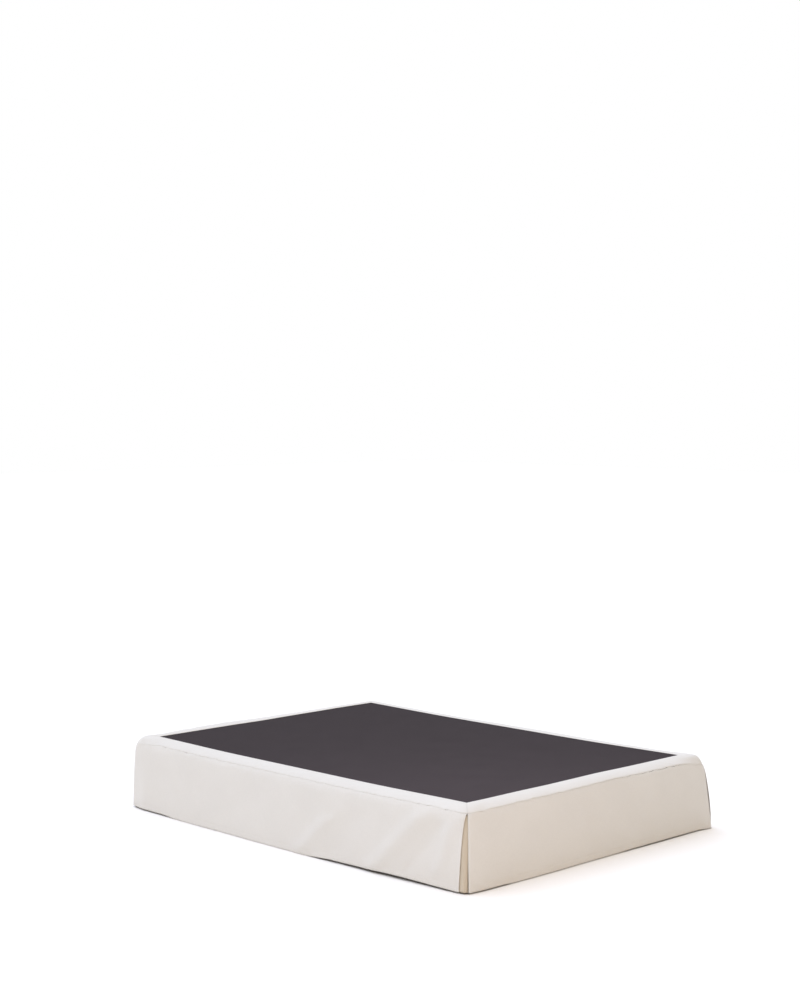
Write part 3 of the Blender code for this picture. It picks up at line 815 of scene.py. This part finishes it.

# %% [markdown]
# Behind each slit hangs an insert, so that the box spring never shows through the corner. It is a
# plain strip of the same cotton, bent round the corner. It sits in the shade, and its finish is the
# cover's colour painted darker and warmer: painted shade.

# %% The corner inserts
INSERT_SET_BACK = 0.0036  # behind the drops' outer line
INSERT_POWER = 0.8  # its hem swings out with this power of the fall
INSERT_TUCK = 0.0030  # it goes this much deeper at the seam
TUCK_REACH = 0.030
INSERT_GAP = 0.0006
INSERT_HALF_WIDTH = 0.105
INSERT_HEM = 0.006
INSERT_STEPS = 16
INSERT_ROWS = 30
INSERT_COLUMNS = ("side", "corner", "swing", "next_swing")
INSERTS = [
    dict(zip(INSERT_COLUMNS, row))
    for row in (
        ("left", "foot_left", 0.0130, -0.0040),
        ("foot", "foot_right", 0.0035, 0.0035),
        ("right", "head_right", 0.0028, 0.0028),
        ("head", "head_left", 0.0007, 0.0007),
    )
]


def insert_surface(side, swing, next_swing):
    """A strip round the corner: straight, a quarter turn, straight, set back behind the drops.

    Its hem swings out by a smooth step round the corner, from one side's swing to the next's.
    """
    fall = np.linspace(0.0, 1.0, INSERT_ROWS)[:, None]
    middle = corner_run(side, fall)
    bent = corner_radius(fall) * math.pi / 4
    turn = np.linspace(-1.0, 1.0, 2 * INSERT_STEPS + 1) * bent
    away = np.linspace(1.0, 0.0, INSERT_STEPS + 1)[:-1]
    straight = bent + (INSERT_HALF_WIDTH - bent) * away
    run = middle + np.concatenate((-straight, turn, straight[:, ::-1]), axis=-1)
    round_corner = smooth_step((run - middle + bent) / (2 * bent))
    corner = np.full_like(run, corner_run(side))
    top = seam_height(side, corner) - INSERT_GAP
    below = fall * (top - INSERT_HEM)
    tuck = blended(side, corner, SEAM_BACK[side["name"]]) * np.exp(-below / SHOULDER)
    tuck = tuck + INSERT_TUCK * np.exp(-below / TUCK_REACH)
    swing = (swing + (next_swing - swing) * round_corner) * fall**INSERT_POWER
    out = swing - tuck - INSERT_SET_BACK - HALF_CLOTH
    x, y = outline(side, run, out, fall)
    return np.stack((x, y, top + (INSERT_HEM - top) * fall), axis=-1)


for row in INSERTS:
    side = next(s for s in SIDES if s["name"] == row["side"])
    points = insert_surface(side, row["swing"], row["next_swing"])
    insert = sheet_mesh("insert_cloth_" + row["corner"], points, 0.0)
    flat = (2 * INSERT_HALF_WIDTH, MEAN_DROP - INSERT_HEM)
    border = "border_cloth_" + side["name"]
    node = "insert_" + row["corner"]
    hand_over(insert, node, INSERT_CLOTH_PAINTED_SHADE, flat)

# %% [markdown]
# The box spring itself shows only as a dark line under the hem and at the foot of the slit. Its
# solid already has the right shape, so it stays and only gets its black base cloth.

# %% The box spring
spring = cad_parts["box_spring"]
spring.data.materials.clear()
spring.data.materials.append(SPRING_CLOTH)
print("box spring dressed in", SPRING_CLOTH.name)

# %% [markdown]
# The studio is all white, with a floor that is paler than the cotton. The light comes from a
# surround that is brightest high up behind the head, and dimmest and warmest low down at the foot,
# so the top is the lightest face and the foot the darkest, without an edge of shadow anywhere. A
# small soft lamp before the foot's left end gives the foot its slow fade to the right.

# %% The studio
FLOOR_SIZE = 60.0
FLOOR_COLOUR = (0.960, 0.940, 0.915)
FLOOR_DROP = 0.0003
SURROUND = {  # colours from behind the dim side round to the bright side
    0.00: (0.063, 0.047, 0.028),
    0.50: (0.250, 0.208, 0.138),
    0.75: (0.461, 0.447, 0.439),
    1.00: (0.768, 0.842, 1.000),
}
SURROUND_STRENGTH = 2.28
TO_BRIGHT_SIDE = (-0.04, 0.50, 0.87)
LAMP_PLACE = (-1.1, -2.6, 0.9)
LAMP_AIM = (-0.5, -0.95, 0.15)
LAMP_SIZE = 0.8
LAMP_POWER = 4.4
LAMP_COLOUR = (1.0, 0.74, 0.62)


def stage_floor():
    """A large pale floor under the box spring."""
    half = FLOOR_SIZE / 2
    mesh = bpy.data.meshes.new("floor")
    corners = [(-half, -half), (half, -half), (half, half), (-half, half)]
    mesh.from_pydata([(x, y, -FLOOR_DROP) for x, y in corners], [], [(0, 1, 2, 3)])
    floor = bpy.data.objects.new("floor", mesh)
    bpy.context.scene.collection.objects.link(floor)
    paint = bpy.data.materials.new("floor_paint")
    paint.use_nodes = True
    shader = paint.node_tree.nodes["Principled BSDF"]
    shader.inputs["Base Color"].default_value = (*FLOOR_COLOUR, 1.0)
    shader.inputs["Roughness"].default_value = 1.0
    shader.inputs["Specular IOR Level"].default_value = 0.0
    mesh.materials.append(paint)


def surround():
    """A surround whose light follows a ramp by direction, while the camera sees it plain white."""
    world = bpy.data.worlds.new("surround")
    bpy.context.scene.world = world
    world.use_nodes = True
    tree = world.node_tree
    place = tree.nodes.new("ShaderNodeTexCoord")
    toward = tree.nodes.new("ShaderNodeVectorMath")
    toward.operation = "DOT_PRODUCT"
    toward.inputs[1].default_value = Vector(TO_BRIGHT_SIDE).normalized()
    tree.links.new(place.outputs["Generated"], toward.inputs[0])
    share = tree.nodes.new("ShaderNodeMapRange")
    share.inputs["From Min"].default_value = -1.0
    tree.links.new(toward.outputs["Value"], share.inputs["Value"])
    ramp = tree.nodes.new("ShaderNodeValToRGB")
    stops = ramp.color_ramp.elements
    while len(stops) < len(SURROUND):
        stops.new(0.5)
    for stop, (at, colour) in zip(stops, SURROUND.items()):
        stop.position = at
        stop.color = (*colour, 1.0)
    tree.links.new(share.outputs["Result"], ramp.inputs["Fac"])
    lit = tree.nodes["Background"]
    lit.inputs["Strength"].default_value = SURROUND_STRENGTH
    tree.links.new(ramp.outputs["Color"], lit.inputs["Color"])
    seen = tree.nodes.new("ShaderNodeBackground")
    seen.inputs["Color"].default_value = (1.0, 1.0, 1.0, 1.0)
    ray = tree.nodes.new("ShaderNodeLightPath")
    mix = tree.nodes.new("ShaderNodeMixShader")
    tree.links.new(ray.outputs["Is Camera Ray"], mix.inputs["Fac"])
    tree.links.new(lit.outputs["Background"], mix.inputs[1])
    tree.links.new(seen.outputs["Background"], mix.inputs[2])
    tree.links.new(mix.outputs["Shader"], tree.nodes["World Output"].inputs["Surface"])


def corner_lamp():
    """A small soft lamp near the front left corner, which the camera doesn't see."""
    light = bpy.data.lights.new("corner_lamp", "AREA")
    light.energy = LAMP_POWER
    light.color = LAMP_COLOUR
    light.size = LAMP_SIZE
    lamp = bpy.data.objects.new("corner_lamp", light)
    lamp.visible_camera = False
    lamp.location = LAMP_PLACE
    toward = Vector(LAMP_AIM) - Vector(LAMP_PLACE)
    lamp.rotation_euler = toward.to_track_quat("-Z", "Y").to_euler()
    bpy.context.scene.collection.objects.link(lamp)


stage_floor()
surround()
corner_lamp()
bpy.context.scene.view_settings.view_transform = "Standard"
print("studio ready")
